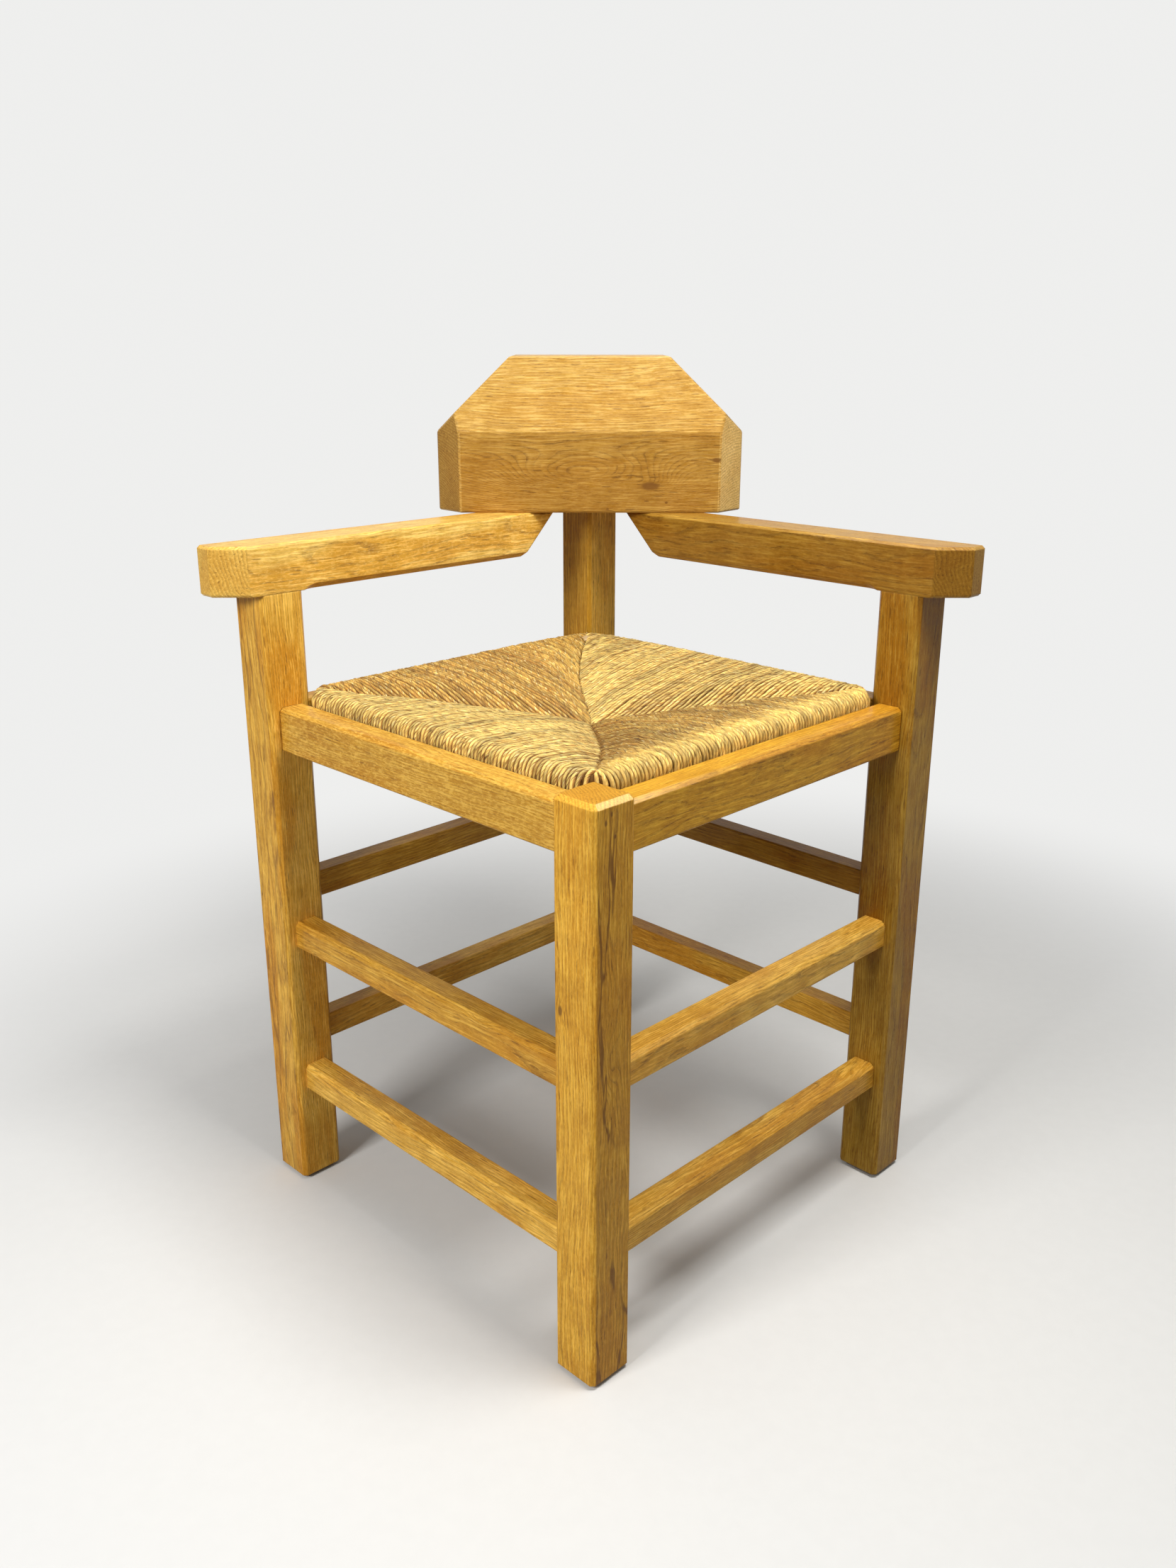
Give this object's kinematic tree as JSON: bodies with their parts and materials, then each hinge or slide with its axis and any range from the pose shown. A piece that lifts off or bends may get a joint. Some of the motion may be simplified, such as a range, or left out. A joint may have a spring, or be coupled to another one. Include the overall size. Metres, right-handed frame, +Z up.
{
  "type": "corner chair",
  "caption": "Square oak corner chair set on its diagonal, with a leg in front, sloped-end arms, a faceted backrest block and a loose woven rush seat.",
  "frame": {"origin": "on the floor, under the middle of the chair's bounding box", "axes": "+Z up, -Y from the middle towards the single front leg, +X towards the right leg as the chair is seen from in front of that leg"},
  "size_m": [0.701, 0.6574, 0.8125],
  "materials": {
    "oak": "golden varnished oak with open grain, satin",
    "plain_wood": "plain sawn softwood, matte",
    "beech": "turned beech, matte",
    "rush": "twisted natural rush, straw coloured, dull",
    "felt": "black pressed felt",
    "screw_steel": "zinc plated steel"
  },
  "bodies": {
    "frame": {"leg_front": "oak", "leg_right": "oak", "leg_left": "oak", "leg_back": "oak", "seat_rail_front_right": "oak", "upper_stretcher_front_right": "oak", "lower_stretcher_front_right": "oak", "seat_rail_back_right": "oak", "upper_stretcher_back_right": "oak", "lower_stretcher_back_right": "oak", "seat_rail_back_left": "oak", "upper_stretcher_back_left": "oak", "lower_stretcher_back_left": "oak", "seat_rail_front_left": "oak", "upper_stretcher_front_left": "oak", "lower_stretcher_front_left": "oak", "arm_left": "oak", "arm_right": "oak", "backrest_block": "oak", "backrest_dowels": "beech", "seat_ledge_front_right": "plain_wood", "seat_ledge_back_right": "plain_wood", "seat_ledge_back_left": "plain_wood", "seat_ledge_front_left": "plain_wood", "ledge_screws": "screw_steel", "foot_pad_front": "felt", "foot_pad_right": "felt", "foot_pad_left": "felt", "foot_pad_back": "felt"},
    "seat": {"rush_seat": "rush", "seat_frame_front_right": "plain_wood", "seat_frame_back_right": "plain_wood", "seat_frame_back_left": "plain_wood", "seat_frame_front_left": "plain_wood"}
  },
  "joints": [
    {"name": "seat_lift", "type": "slide", "parent": "frame", "child": "seat", "axis": [0, 0, 1], "range_m": [0, 0.08]}
  ]
}
